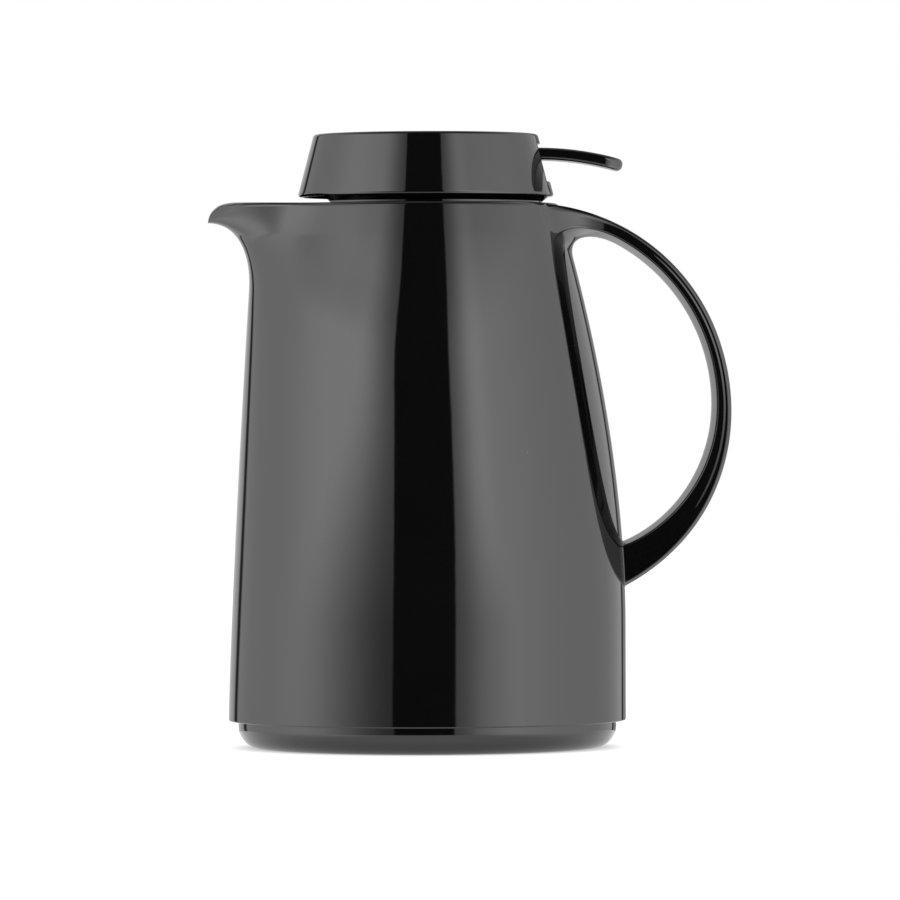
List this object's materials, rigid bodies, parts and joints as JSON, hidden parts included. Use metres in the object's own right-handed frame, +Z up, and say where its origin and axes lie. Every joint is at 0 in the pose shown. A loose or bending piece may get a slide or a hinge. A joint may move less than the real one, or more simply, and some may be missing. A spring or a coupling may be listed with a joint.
{
  "type": "thermal carafe",
  "caption": "Glossy black vacuum carafe with a pouring beak, loop handle, screw-in stopper lid and a thumb lever that opens the pour valve.",
  "frame": {"origin": "centre of the flat face under the base, where the carafe stands", "axes": "+Z up along the carafe's axis, -X towards the spout, +X towards the handle and the thumb lever"},
  "size_m": [0.1831, 0.139, 0.2144],
  "materials": {
    "casing_black": "gloss",
    "base_black": "gloss",
    "lid_black": "gloss",
    "stopper_black": "satin",
    "valve_white": "satin",
    "silvered_glass": "gloss",
    "pad_grey": "matte",
    "seal_grey": "matte",
    "cushion_black": "matte",
    "spring_steel": "satin"
  },
  "bodies": {
    "jug": {"body_shell": "casing_black", "handle": "casing_black", "flask_outer": "silvered_glass", "flask_inner": "silvered_glass", "flask_spacers": "pad_grey", "neck_ring": "stopper_black", "collar_seal": "seal_grey", "neck_gasket": "seal_grey"},
    "base_ring": {"base_seal": "seal_grey"},
    "base": {"base_cover": "base_black", "base_cushion": "cushion_black"},
    "lid_ring": {"lid_gasket": "seal_grey"},
    "lid": {"stopper_body": "stopper_black", "stopper_seal": "seal_grey", "lid_cover": "lid_black", "lever_pin": "spring_steel", "return_spring": "spring_steel"},
    "lever": {"thumb_lever": "lid_black"},
    "valve": {"valve_stem": "valve_white", "valve_disc": "valve_white", "valve_seal": "seal_grey", "stem_clip": "spring_steel"}
  },
  "joints": [
    {"name": "lid_rise", "type": "slide", "parent": "jug", "child": "lid_ring", "axis": [0, 0, 1], "range_m": [0, 0.036]},
    {"name": "lid_turn", "type": "hinge", "parent": "lid_ring", "child": "lid", "pos_m": [0, 0, 0.172], "axis": [0, 0, 1], "range_deg": [0, 360]},
    {"name": "lever_press", "type": "hinge", "parent": "lid", "child": "lever", "pos_m": [-0.027, 0, 0.2084], "axis": [0, 1, 0], "range_deg": [0, 6], "stiffness_Nm_per_rad": 1.5, "springref_deg": -8.59},
    {"name": "valve_open", "type": "slide", "parent": "lid", "child": "valve", "axis": [0, 0, -1], "range_m": [0, 0.00283], "deforming": ["return_spring"]},
    {"name": "base_drop", "type": "slide", "parent": "jug", "child": "base_ring", "axis": [0, 0, -1], "range_m": [0, 0.015]},
    {"name": "base_turn", "type": "hinge", "parent": "base_ring", "child": "base", "pos_m": [0, 0, 0.011], "axis": [0, 0, -1], "range_deg": [0, 180]}
  ],
  "couplings": [
    {"joint": "lid_rise", "follows": "lid_turn", "m_per_rad": 0.0057296},
    {"joint": "valve_open", "follows": "lever_press", "m_per_rad": 0.027},
    {"joint": "base_drop", "follows": "base_turn", "m_per_rad": 0.0047746}
  ]
}
